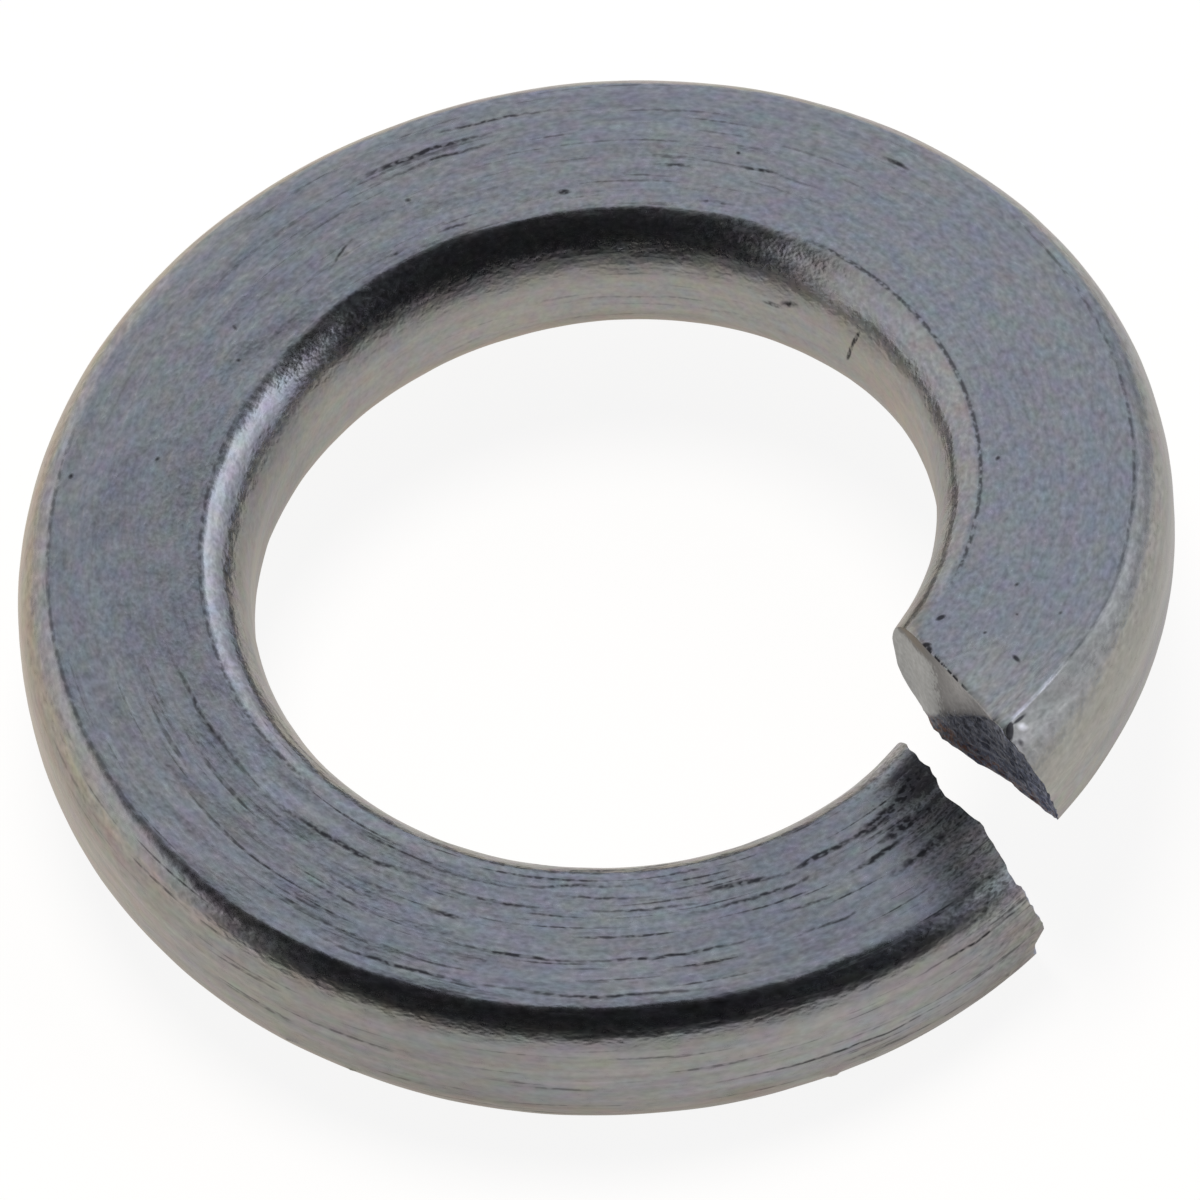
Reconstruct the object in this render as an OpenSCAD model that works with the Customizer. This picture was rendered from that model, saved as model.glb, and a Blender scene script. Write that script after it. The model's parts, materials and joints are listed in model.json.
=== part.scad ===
// Spring lock washer for a half inch bolt, in millimetres.
// One turn of round-edged spring wire, coiled as a left-hand helix and sheared through
// at one place, so that one end stands about a wire's thickness above the other.
// The bore's axis is +Z, the split lies on +X, and the lowest point is at Z = 0.

/* [Ring] */
// Diameter of the bore that the bolt passes through
bore_d = 13.1; // [9:0.1:30]
// Width of the wire, from the bore to the outside
wire_w = 4.45; // [3:0.05:9]
// Thickness of the wire, between its two flat faces
wire_t = 3.15; // [1.6:0.05:6]
// Height that the wire climbs in one turn while the washer is free
rise = 3.3; // [0:0.05:8]

/* [Rounded edges] */
// How far the inner edge's rounding reaches into each flat face
inner_round_w = 0.9; // [0.3:0.05:1.5]
// How deep coiling has flattened the crown of that rounding, which makes the bore's wall
bore_flat = 0.04; // [0.02:0.01:0.12]
// How far the outer edge's rounding reaches into each flat face
outer_round_w = 0.7; // [0.2:0.05:1.5]
// How far the outer edge's rounding reaches down the outer wall
outer_round_h = 1.3; // [0.3:0.05:1.5]

/* [Split] */
// Width of the split at the bore, between its two cut faces
split_w = 0.25; // [0.05:0.05:1.5]
// Angle by which the split widens outwards
split_spread = 3; // [0:0.5:15]
// Angle between the middle of the split and a straight radius, seen from above
split_skew = 16.5; // [0:0.5:30]
// Angle by which the cut faces lean from upright, at the middle of the wire
split_lean = 9; // [6:0.5:20]
// How much more they lean at the outside than at the bore, because the shear twisted them
split_twist = 10; // [0:0.5:12]
// How far the shear has drawn in the first edge that it met, at each end
shear_roll = 0.25; // [0:0.01:0.5]
// Length of wire over which that edge is drawn in
shear_roll_l = 0.6; // [0.2:0.05:2]

/* [Hidden] */

full_turn = 360;
quarter_turn = 90;
bore_r = bore_d / 2;
outer_r = bore_r + wire_w;
mid_r = bore_r + wire_w / 2;
half_t = wire_t / 2;

// Facets: along the turn, along a drawn-in end, and round a quarter of an edge
turn_steps = 116;
roll_steps = 4;
round_steps = 6;
bore_facets = 192;

// The outer rounding always leaves this much of the wall's half height upright
outer_wall_min = 0.1;
outer_h = min(outer_round_h, half_t - outer_wall_min);

// The inner edge is half an ellipse that the bore trims. Its facets are spaced so that
// the bore's rim falls half way along one of them, whatever the sizes are.
crown_w = inner_round_w + bore_flat;
rim_angle = acos(inner_round_w / crown_w);
inner_angles = concat([rim_angle / 2], [for (k = [0 : round_steps - 1])
    1.5 * rim_angle + (quarter_turn - 1.5 * rim_angle) * k / (round_steps - 1)]);

function inner_point(angle) =
    [bore_r + inner_round_w - crown_w * cos(angle), half_t * sin(angle)];

function outer_point(angle) =
    [outer_r - outer_round_w * (1 - cos(angle)), half_t - outer_h * (1 - sin(angle))];

function reversed(points) = [for (k = [len(points) - 1 : -1 : 0]) points[k]];

// The wire's section as [radius, height] points, from the bore's wall over the top
// face to the outer wall, and back along the bottom face
upper_half = concat(
    [for (angle = inner_angles) inner_point(angle)],
    [for (k = [round_steps : -1 : 0]) outer_point(quarter_turn * k / round_steps)]);
section = concat(upper_half, [for (p = reversed(upper_half)) [p.x, -p.y]]);

// Angle at which the middle of the split leaves the bore
bore_split = asin(mid_r * sin(split_skew) / bore_r) - split_skew;

// Angle at which a point of the section meets a cut face. side is 1 at the raised end
// and -1 at the low end.
function cut_angle(p, side) =
    let (skew = split_skew - side * split_spread / 2,
         lean = split_lean + split_twist * (p.x - mid_r) / wire_w,
         offset = side * split_w / 2 - p.y * tan(lean))
    asin((bore_r * sin(bore_split + skew) + offset) / p.x) - skew;

// Share of an end's skew that is left at an angle from that end: between the ends the
// sections stand square
fade_span = 50;
function fade(angle) = pow(max(0, 1 - angle / fade_span), 2);

// The shear draws in the top edge of the raised end and the bottom edge of the low end.
// turn is the angle from the raised end.
roll_span = shear_roll_l / mid_r * full_turn / (2 * PI);
function roll_depth(angle) = shear_roll * pow(max(0, 1 - angle / roll_span), 2);
function rolled(p, turn) = [p.x, p.y
    - roll_depth(turn) * max(0, p.y) / half_t
    + roll_depth(full_turn - turn) * max(0, -p.y) / half_t];

// Place of a section point at an angle from the raised end, on the falling helix
function swept(p, turn) =
    let (q = rolled(p, turn),
         angle = turn + fade(turn) * cut_angle(q, 1)
             + fade(full_turn - turn) * cut_angle(q, -1))
    [q.x * cos(angle), q.x * sin(angle), q.y - rise * angle / full_turn];

turns = concat(
    [for (k = [0 : roll_steps - 1]) roll_span * k / roll_steps],
    [for (k = [0 : turn_steps]) roll_span + (full_turn - 2 * roll_span) * k / turn_steps],
    [for (k = [roll_steps - 1 : -1 : 0]) full_turn - roll_span * k / roll_steps]);
coil_points = [for (turn = turns) for (p = section) swept(p, turn)];

// Heights of the whole coil, whose lowest point is set on Z = 0
heights = [for (p = coil_points) p.z];
lowest = min(heights);
free_h = max(heights) - lowest;

// The section carried along the helix, from one cut face to the other. Each cut face is
// a strip of uprights from the top edge to the bottom edge, because it may be twisted.
module coil() {
    n = len(section);
    last = len(coil_points) - n;
    walls = [for (i = [0 : n : last - n]) for (j = [0 : n - 1])
        let (a = i + j, b = i + (j + 1) % n)
        each [[a, b + n, b], [a, a + n, b + n]]];
    raised_face = [for (j = [0 : n / 2 - 2])
        let (a = j, b = j + 1, c = n - 2 - j, d = n - 1 - j)
        each [[a, b, c], [a, c, d]]];
    low_face = [for (f = raised_face) [for (k = reversed(f)) k + last]];
    polyhedron(coil_points, concat(raised_face, walls, low_face), convexity = 4);
}

// The coiled wire, with its inner edge flattened to the bore
module lock_washer() {
    color([0.55, 0.58, 0.62])
    difference() {
        translate([0, 0, -lowest]) coil();
        translate([0, 0, -wire_t])
            cylinder(r = bore_r, h = free_h + 2 * wire_t, $fn = bore_facets);
    }
}

lock_washer();
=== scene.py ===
# Spring lock washer: the finish of its coiled, sheared and zinc plated wire, on a pale floor
import json
import math

import bpy
import numpy as np
from mathutils import Matrix, Vector


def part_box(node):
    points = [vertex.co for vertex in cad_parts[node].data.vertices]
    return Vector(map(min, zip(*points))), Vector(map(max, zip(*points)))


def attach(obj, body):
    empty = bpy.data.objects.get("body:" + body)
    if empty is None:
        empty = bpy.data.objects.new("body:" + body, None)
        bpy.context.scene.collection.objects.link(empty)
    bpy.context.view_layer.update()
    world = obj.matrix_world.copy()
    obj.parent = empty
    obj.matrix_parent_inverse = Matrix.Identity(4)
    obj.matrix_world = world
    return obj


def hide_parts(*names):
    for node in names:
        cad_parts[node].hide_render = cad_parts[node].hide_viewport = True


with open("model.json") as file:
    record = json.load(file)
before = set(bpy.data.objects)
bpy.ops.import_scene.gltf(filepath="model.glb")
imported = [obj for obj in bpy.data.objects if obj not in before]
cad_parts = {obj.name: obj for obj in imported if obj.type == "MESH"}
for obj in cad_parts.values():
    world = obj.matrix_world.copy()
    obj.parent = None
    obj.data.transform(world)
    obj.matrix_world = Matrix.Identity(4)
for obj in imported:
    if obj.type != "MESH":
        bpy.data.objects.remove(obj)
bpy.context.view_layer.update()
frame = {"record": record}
mm = 0.001
print("frame loaded")

# Camera: where it stands round the washer, in degrees and millimetres, as the photograph was taken
cameraView = {
    "azimuth": -48.08,  # from +X, counter-clockwise seen from above
    "elevation": 52.18,
    "roll": -6.454,
    "distance": 295.8,
    "aim": (0, 0, 3.159),  # point that the camera looks towards
    "slide": (0.0645, -0.335),  # and how far it stands off that line, to its right and up
    "lens": 468.44,
    "sensor": 36,
    "nearest": 10,  # nothing closer is drawn
}


# Right, up and back directions of the camera: the back direction points at the azimuth and
# elevation, and the other two are turned about it by the roll
def cameraAxes(view):
    azimuth, elevation = math.radians(view["azimuth"]), math.radians(view["elevation"])
    back = Vector((math.cos(elevation) * math.cos(azimuth),
                   math.cos(elevation) * math.sin(azimuth), math.sin(elevation)))
    right = Vector((-math.sin(azimuth), math.cos(azimuth), 0))
    turned = Matrix.Rotation(math.radians(view["roll"]), 3, back) @ right
    return turned, back.cross(turned), back


def makeCamera(view):
    right, up, back = cameraAxes(view)
    data = bpy.data.cameras.new("camera")
    data.sensor_width = view["sensor"]
    data.lens = view["lens"]
    data.clip_start = view["nearest"] * mm
    camera = bpy.data.objects.new("camera", data)
    bpy.context.collection.objects.link(camera)
    place = Vector(view["aim"]) + back * view["distance"]
    place += right * view["slide"][0] + up * view["slide"][1]
    turn = Matrix((right, up, back)).transposed().to_4x4()
    camera.matrix_world = Matrix.Translation(place * mm) @ turn
    bpy.context.scene.camera = camera


makeCamera(cameraView)
print("camera placed")

# Washer: the driving sizes of the wire, the coil and the split, in millimetres and degrees
boreMount = next(m for m in frame["record"]["mounts"] if m["name"] == "bore")
washer = {
    "boreR": boreMount["dims"]["r_mm"],
    "outerR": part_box("lock_washer")[1][0] / mm,
    "wireT": 3.15,
    "rise": 3.3,  # climb in one turn
    "innerRoundW": 0.9,  # the inner edge is half an ellipse, flattened by the bore
    "boreFlat": 0.04,
    "outerRoundW": 0.7,  # the outer edge has a quarter ellipse at each face
    "outerRoundH": 1.3,
    "splitW": 0.25,
    "splitSpread": 3,
    "splitSkew": 16.5,
    "splitLean": 9,
    "splitTwist": 10,
    "shearRoll": 0.025,  # depth and length over which the shear drew in an edge
    "shearRollL": 0.2,
    "rollReach": 1.6,  # outer roundings' widths over which that fades towards the outer wall
    "fadeSpan": 50,  # degrees from an end over which its skew fades
    "flatSteps": 22,
    "innerSteps": 20,
    "outerSteps": 16,
    "wallSteps": 8,
    "ringStep": 0.62,  # degrees between sections away from the ends
    "endRings": 56,  # sections that close up towards each end
    "endStep": 0.07,
    "capLoops": 24,
    "capStart": (0.02, 0.045),  # shares of the first loops, which turn the sheared edge
    "inset": 1.25,  # distance from the outline to the line on which a cut face closes
    "waver": 0.0035,  # how far the drawn surface wanders from true, and over what length
    "waverLength": 0.8,
    "waverCount": 30,
    "waverFine": (2.6, 0.45),  # how many times shorter the finer wandering is, and how deep beside the other
    "drawn": 3.5,  # the wandering is this many times longer along the wire than across it
    "pressNarrow": 0.25,  # the shear pressed the raised end's outer corner: how much flat it took,
    "pressPower": 1.45,  # how sharply the pressed corner bends (2 is round)
    "pressSpan": 22,  # degrees over which the pressing fades,
    "pressReach": 0.9,  # and length of the flat that gives way with it
    # burrs at the foot of the outer wall: turn, height, size and how far each stands out
    "burrs": [(274.3, -0.75, 0.13, 0.06), (281, -1.0, 0.09, 0.035), (297, -0.95, 0.1, 0.03),
              (321, -1.05, 0.1, 0.035), (330.5, -1.05, 0.12, 0.07), (335, -0.95, 0.1, 0.055),
              (353.4, -0.8, 0.09, 0.06)],
}

# Cut faces: how far the torn edges stand beyond the true cut, as radius and millimetres. The
# shear slid over the first half of each face and tore the rest, which lies deeper
cutFace = {
    "lowTopEdge": [(6.55, 0.02), (7.2, 0.04), (7.6, 0.07), (8.05, 0.1), (8.2, 0), (8.5, -0.04),
                   (8.8, 0.04), (9.2, 0.13), (9.48, 0.2), (9.68, 0.15), (10.25, 0.05), (10.74, -0.03),
                   (10.79, 0.06), (10.87, 0), (11, -0.04)],
    "lowBottomEdge": [(6.55, 0), (8, 0.05), (9.5, -0.05), (10.4, 0), (11, 0.16)],
    # the low end's outer bottom corner is broken off: beyond this radius and depth, by this length,
    # which is reached after this much more depth
    "lowChip": (10.3, 0.25, 0.55, 0.7),
    "raisedTopEdge": [(6.55, 0), (9.4, 0), (9.8, 0.03), (10.2, 0.07), (10.6, 0.05), (11, 0.02)],
    "raisedBottomEdge": [(6.55, -0.1), (6.73, -0.12), (6.9, -0.13), (7.05, -0.11), (7.2, -0.02),
                         (7.44, 0.08), (7.64, 0.12), (7.97, 0.12), (8.4, 0.08), (8.7, 0.04),
                         (9.2, -0.05), (9.8, -0.06), (10.6, -0.08), (11, 0.03)],
    "reach": 1.6,  # length of wire over which an edge's shape fades
    "tearSlope": 1.14,  # border of the torn part: height gained per radius, and radius at mid height
    "tearRadius": 8.44,
    "tearSoft": 0.16,  # width of that border
    "tearDepth": 0.05,
    "tearGrain": 0.012,
    "tearGrainLength": 0.3,
    "tearGrainCount": 24,
    "tearFine": (2, 0.4),  # how many times shorter the finer grain is, and how deep beside the other
}
halfT = washer["wireT"] / 2
midR = (washer["boreR"] + washer["outerR"]) / 2
wireW = washer["outerR"] - washer["boreR"]
fullTurn = 360
seed = 11
paceSpread = (0.6, 1.6)  # how far ripples differ from their given pace
tiny = 1e-6


# Wire's outline as radius and height: the bore's land, the trimmed half ellipse, the flat
# face, the quarter ellipse and the outer wall, then the same points mirrored below
def wireOutline(w):
    crown = w["innerRoundW"] + w["boreFlat"]
    rim = math.acos(w["innerRoundW"] / crown)
    inner = np.linspace(rim, math.pi / 2, w["innerSteps"] + 1)
    outer = np.linspace(math.pi / 2, 0, w["outerSteps"] + 1)
    innerArc = np.stack([w["boreR"] + w["innerRoundW"] - crown * np.cos(inner), halfT * np.sin(inner)], 1)
    outerArc = np.stack([w["outerR"] - w["outerRoundW"] * (1 - np.cos(outer)),
                         halfT - w["outerRoundH"] * (1 - np.sin(outer))], 1)
    share = np.linspace(0, 1, w["flatSteps"] + 1)[1:-1, None]
    flat = innerArc[-1] * (1 - share) + outerArc[0] * share
    rise = np.linspace(0, 1, w["wallSteps"] // 2 + 1)[:-1, None]
    land = innerArc[0] * [1, 0] + rise * innerArc[0] * [0, 1]
    wall = outerArc[-1] * [1, 0] + rise[::-1] * outerArc[-1] * [0, 1]
    upper = np.concatenate([land, innerArc, flat, outerArc, wall])
    return np.concatenate([upper, upper[-2:0:-1] * [1, -1]])


# Angle at which a section point meets a cut face: the arcsine of its offset from the
# skewed cut line over its radius, less the skew. side is 1 at the raised end, -1 at the low
def cutAngle(w, radius, height, side):
    skew = w["splitSkew"] - side * w["splitSpread"] / 2
    lean = w["splitLean"] + w["splitTwist"] * (radius - midR) / wireW
    offset = side * w["splitW"] / 2 - height * np.tan(np.radians(lean))
    middle = math.asin(midR * math.sin(math.radians(w["splitSkew"])) / w["boreR"])
    boreSplit = middle - math.radians(w["splitSkew"])
    reach = w["boreR"] * math.sin(boreSplit + math.radians(skew)) + offset
    return np.degrees(np.arcsin(reach / radius)) - skew


# Share of an end's skew left at an angle from that end: one less the angle over the span, squared
def endFade(w, angle):
    return np.maximum(0, 1 - angle / w["fadeSpan"]) ** 2


# Depth to which the shear drew in an edge: the full depth times the square of what is left of its span
def rollDepth(w, angle):
    span = math.degrees(w["shearRollL"] / midR)
    return w["shearRoll"] * np.maximum(0, 1 - angle / span) ** 2


# Seeded ripples: a sum of sine waves with random headings, each of about the given length, over
# the root of half their count
def ripples(points, length, count, draw):
    heading = draw.normal(size=(count, points.shape[-1]))
    heading /= np.linalg.norm(heading, axis=1, keepdims=True)
    pace = 2 * math.pi / length * draw.uniform(*paceSpread, count)
    start = draw.uniform(0, 2 * math.pi, count)
    total = np.zeros(points.shape[:-1])
    for way, rate, phase in zip(heading, pace, start):
        total += np.sin((points @ way) * rate + phase)
    return total / math.sqrt(count / 2)


# Smooth step of a share: three times its square less twice its cube, between 0 and 1
def smooth(share):
    share = np.clip(share, 0, 1)
    return share * share * (3 - 2 * share)


# Share of a cut face that is torn: a smooth step across the slanting border, from none to all on
# the side where the shear came out
def tornShare(c, radius, height, side):
    beyond = c["tearSlope"] * (radius - c["tearRadius"]) - side * height
    return smooth(0.5 + beyond / c["tearSoft"])


# Distance that a cut face stands out: the top and bottom edges' shapes shared out by
# height, less the low end's broken corner and the torn part's depth, plus its grain
def cutRelief(c, radius, height, side):
    top, bottom = ("raisedTopEdge", "raisedBottomEdge") if side > 0 else ("lowTopEdge", "lowBottomEdge")
    share = np.clip(0.5 + height / halfT / 2, 0, 1)
    edges = np.interp(radius, *zip(*c[top])) * share + np.interp(radius, *zip(*c[bottom])) * (1 - share)
    draw = np.random.default_rng(seed + side)
    points = np.stack([radius, height], -1)
    length, count = c["tearGrainLength"], c["tearGrainCount"]
    shorter, depth = c["tearFine"]
    grain = ripples(points, length, count, draw) + depth * ripples(points, length / shorter, count, draw)
    torn = tornShare(c, radius, height, side)
    if side < 0:
        beyond, below, broken, fall = c["lowChip"]
        out = np.clip((radius - beyond) / (washer["outerR"] - beyond), 0, 1)
        down = np.clip((-height - below) / fall, 0, 1)
        edges = edges - broken * out * down * (2 - down)
    return edges + torn * (c["tearGrain"] * grain - c["tearDepth"])


# Angle by which a cut face's relief, fading along the wire, swings a section point
def reliefSwing(c, radius, height, turn, side):
    along = np.radians(turn if side > 0 else fullTurn - turn) * midR
    fade = np.maximum(0, 1 - along / c["reach"]) ** 2
    return np.degrees(-side * fade * cutRelief(c, radius, height, side) / radius)


# How far the shear's drawing in is felt across the wire: all of it up to the outer rounding,
# and none of it at the outer wall
def rollShare(w, radius):
    return smooth((w["outerR"] - radius) / (w["rollReach"] * w["outerRoundW"]))


# Place of section points on the falling helix: the radius swings round by the turn plus
# each end's cut angle times its fade, and the height falls by the rise times that angle
def coilPoints(w, c, radius, height, turn):
    roll = rollDepth(w, turn) * np.maximum(0, height)
    roll = roll - rollDepth(w, fullTurn - turn) * np.maximum(0, -height)
    drawnIn = height - rollShare(w, radius) * roll / halfT
    angle = turn + endFade(w, turn) * cutAngle(w, radius, drawnIn, 1)
    angle = angle + endFade(w, fullTurn - turn) * cutAngle(w, radius, drawnIn, -1)
    angle = angle + reliefSwing(c, radius, height, turn, 1) + reliefSwing(c, radius, height, turn, -1)
    around = np.radians(angle)
    place = np.stack([radius * np.cos(around), radius * np.sin(around),
                      drawnIn - w["rise"] * angle / fullTurn], -1)
    return place, angle


# Turns at which sections stand: steps that grow evenly from each end, then even ones
def sectionTurns(w):
    grow = np.cumsum(np.linspace(w["endStep"], w["ringStep"], w["endRings"]))
    start = np.concatenate([[0], grow])
    count = int((fullTurn - 2 * start[-1]) / w["ringStep"])
    middle = np.linspace(start[-1], fullTurn - start[-1], count + 1)[1:-1]
    return np.concatenate([start, middle, fullTurn - start[::-1]])


# Cut face: the outline drawn in loop by loop towards the section's middle line. Each loop's
# share grows evenly, after narrow first steps
def capShares(w):
    return np.concatenate([w["capStart"], np.linspace(0, 1, w["capLoops"] + 1)[2:]])


# Outline's own normals: the line from the point before each point to the point after it,
# made one long and turned by a right angle
def outlineNormals(outline):
    tangent = np.roll(outline, -1, 0) - np.roll(outline, 1, 0)
    tangent /= np.linalg.norm(tangent, axis=1, keepdims=True)
    return np.stack([-tangent[:, 1], tangent[:, 0]], 1)


# Wandering of the drawn surface: ripples in the straightened wire, long along it, that push
# each section point out along the outline's normal
def wander(w, outline, turns):
    along = np.radians(turns) * midR / w["drawn"]
    straight = np.concatenate([np.broadcast_to(along[:, None, None], (len(turns), len(outline), 1)),
                               np.broadcast_to(outline, (len(turns), len(outline), 2))], -1)
    draw = np.random.default_rng(seed)
    length, count = w["waverLength"], w["waverCount"]
    shorter, depth = w["waverFine"]
    push = ripples(straight, length, count, draw) + depth * ripples(straight, length / shorter, count, draw)
    return w["waver"] * push[..., None] * outlineNormals(outline)


# Burrs: each pushes the outer wall out by its reach times e to the minus squared distance
# from its middle, with that distance along the wire and up the wall in its own sizes
def burrPush(w, outline, turns):
    along = np.radians(turns)[:, None] * midR
    push = np.zeros((len(turns), len(outline)))
    for turn, height, size, reach in w["burrs"]:
        away = (along - math.radians(turn) * midR) ** 2 + (outline[:, 1] - height) ** 2
        push += reach * np.exp(-away / size ** 2) * (outline[:, 0] > midR)
    return push[..., None] * outlineNormals(outline)


# Pressed outer corner at the raised end. The quarter ellipse, at each of its angles, moves to
# the curve |x|^power + |y|^power = 1, which bends sharply where the narrowed flat ends. The flat
# beside it moves in by a smooth step of what is left of its reach
def pressCorner(w, outline, turns):
    start, low = w["outerR"] - w["outerRoundW"], halfT - w["outerRoundH"]
    x = np.clip((outline[:, 0] - start) / w["outerRoundW"], 0, 1)
    y = np.clip((outline[:, 1] - low) / w["outerRoundH"], 0, 1)
    angle = np.arctan2(y, x)
    power = 2 / w["pressPower"]
    onArc = (outline[:, 0] > start - tiny) & (outline[:, 1] > low)
    arc = np.stack([w["outerR"] - (w["outerRoundW"] + w["pressNarrow"]) * (1 - np.cos(angle) ** power),
                    low + w["outerRoundH"] * np.sin(angle) ** power], 1)
    near = smooth(1 + (outline[:, 0] - start) / w["pressReach"]) * (outline[:, 1] > low)
    pushed = outline - near[:, None] * [w["pressNarrow"], 0]
    moved = np.where(onArc[:, None], arc, pushed) - outline
    return smooth(1 - turns / w["pressSpan"])[:, None, None] * moved


# Wire: the outline carried along the helix, and each cut face as loops of the outline drawn
# in towards the section's middle line. The straightened place keeps length along the wire,
# distance from its middle radius, and height
def buildWire(w, c):
    outline = wireOutline(w)
    turns = sectionTurns(w)
    rings, around = len(turns), len(outline)
    section = outline + wander(w, outline, turns)
    section = section + burrPush(w, outline, turns) + pressCorner(w, outline, turns)
    turn = np.broadcast_to(turns[:, None], (rings, around))
    place, angle = coilPoints(w, c, section[..., 0], section[..., 1], turn)

    middle = np.stack([np.clip(outline[:, 0], w["boreR"] + w["inset"], w["outerR"] - w["inset"]),
                       np.zeros(around)], 1)
    share = capShares(w)[:, None, None]
    points = [place.reshape(-1, 3)]
    straight = [straighten(angle, outline[:, 0], outline[:, 1])]
    cutGap = [np.radians(np.stack([turn, fullTurn - turn], -1)).reshape(-1, 2) * midR]
    faces = [gridFaces(np.arange(rings * around).reshape(rings, around), False)]
    material = [np.zeros(len(faces[0]), int)]
    count = rings * around
    for end in (0, fullTurn):
        ring = section[0 if end == 0 else -1]
        loops = ring * (1 - share) + middle * share
        capTurn = np.full(loops.shape[:2], float(end))
        capPlace, capAngle = coilPoints(w, c, loops[..., 0], loops[..., 1], capTurn)
        number = count + np.arange(loops.shape[0] * around).reshape(-1, around)
        edge = np.arange(around) + (0 if end == 0 else (rings - 1) * around)
        faces.append(gridFaces(np.concatenate([edge[None], number]), end == 0))
        material.append(np.ones(len(faces[-1]), int))
        points.append(capPlace.reshape(-1, 3))
        straight.append(straighten(capAngle, loops[..., 0], loops[..., 1]))
        cutGap.append(np.tile(np.radians([end, fullTurn - end]) * midR, (number.size, 1)))
        count += number.size
    points = np.concatenate(points)
    points[:, 2] -= points[:, 2].min()
    return (points, np.concatenate(faces), np.concatenate(material), np.concatenate(straight),
            np.concatenate(cutGap))


def straighten(angle, radius, height):
    parts = np.broadcast_arrays(np.radians(angle) * midR, radius - midR, height)
    return np.stack(parts, -1).reshape(-1, 3)


# Four-sided faces of a grid that closes on itself across its rows
def gridFaces(number, flip):
    a, b = number[:-1], number[1:]
    corners = [a, np.roll(a, -1, 1), np.roll(b, -1, 1), b]
    if flip:
        corners = corners[::-1]
    return np.stack(corners, -1).reshape(-1, 4)


def makeMesh(name, points, faces):
    mesh = bpy.data.meshes.new(name)
    mesh.vertices.add(len(points))
    mesh.vertices.foreach_set("co", (points * mm).astype(np.float32).ravel())
    mesh.loops.add(faces.size)
    mesh.loops.foreach_set("vertex_index", faces.astype(np.int32).ravel())
    mesh.polygons.add(len(faces))
    mesh.polygons.foreach_set("loop_start", np.arange(0, faces.size, 4, dtype=np.int32))
    mesh.polygons.foreach_set("loop_total", np.full(len(faces), 4, dtype=np.int32))
    mesh.update(calc_edges=True)
    mesh.validate()
    mesh.polygons.foreach_set("use_smooth", np.ones(len(faces), dtype=bool))
    return mesh


def storeAttribute(mesh, name, kind, values):
    attribute = mesh.attributes.new(name, kind, "POINT")
    field = "vector" if kind == "FLOAT_VECTOR" else "value"
    attribute.data.foreach_set(field, values.astype(np.float32).ravel())


def makeWasher(w, c):
    points, faces, material, straight, cutGap = buildWire(w, c)
    mesh = makeMesh("platedWire", points, faces)
    mesh.polygons.foreach_set("material_index", material.astype(np.int32))
    storeAttribute(mesh, "straightPlace", "FLOAT_VECTOR", straight)
    storeAttribute(mesh, "fromRaisedCut", "FLOAT", cutGap[:, 0])
    storeAttribute(mesh, "fromLowCut", "FLOAT", cutGap[:, 1])
    piece = bpy.data.objects.new("plated_wire", mesh)
    bpy.context.collection.objects.link(piece)
    return piece


wire = makeWasher(washer, cutFace)
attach(wire, "root")
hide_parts("lock_washer")
print("wire swept:", len(wire.data.vertices), "points,", len(wire.data.polygons), "faces")


# Node with the given values or links in its inputs, in their order. Below it, a math node, a
# product, a smooth step over a span, and a blend of two colours
def addNode(tree, kind, *values, **settings):
    node = tree.nodes.new(kind)
    for key, value in settings.items():
        setattr(node, key, value)
    for value, socket in zip(values, node.inputs):
        if value is not None:
            plug(tree, value, socket)
    return node


def plug(tree, value, socket):
    if isinstance(value, bpy.types.NodeSocket):
        tree.links.new(value, socket)
    else:
        socket.default_value = value


def calc(tree, operation, *values, clamp=False):
    return addNode(tree, "ShaderNodeMath", *values, operation=operation, use_clamp=clamp).outputs[0]


# The same with vectors or colours
def vectorCalc(tree, operation, *values):
    return addNode(tree, "ShaderNodeVectorMath", *values, operation=operation).outputs[0]


def times(tree, first, *others):
    for other in others:
        first = calc(tree, "MULTIPLY", first, other)
    return first


def smoothStep(tree, value, span, start=0.0, end=1.0):
    return addNode(tree, "ShaderNodeMapRange", value, *span, start, end,
                   interpolation_type="SMOOTHSTEP").outputs[0]


def blendColour(tree, share, first, second, mode="MIX"):
    node = addNode(tree, "ShaderNodeMix", share, data_type="RGBA", blend_type=mode)
    for colour, socket in ((first, node.inputs[6]), (second, node.inputs[7])):
        plug(tree, (*colour, 1) if isinstance(colour, tuple) else colour, socket)
    return node.outputs[2]


def readAttribute(tree, name, output="Fac"):
    return addNode(tree, "ShaderNodeAttribute", attribute_name=name).outputs[output]


# Studio: how bright each part of the surroundings is, as seen mirrored in the metal.
# Angles are in degrees from the side where the camera stands
studio = {
    "darkness": (0.022, 0.022, 0.024),  # open, unlit side of the room, and its ceiling
    "rightPanel": (0.97, 1.0, 1.12),
    "rightFacing": 135, "rightTop": 1.9, "rightEdge": 70,
    "rightLow": 0.56, "rightHigh": 1.75,  # brightness at the panel's foot and top
    "leftPanel": (0.80, 0.785, 0.805),
    "leftFacing": -138, "leftTop": 1.62, "leftEdge": -72,
    "backPanel": (0.60, 0.64, 0.735),
    "backTop": 63, "backFrom": 152, "backTo": 196,
    "edgeSoft": 9, "topSoft": 0.05, "backSoft": 2,  # how softly the panels' sides and tops end
    "steepest": 89, "leastReach": 0.02,  # they keep the panels' sums finite
}


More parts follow.
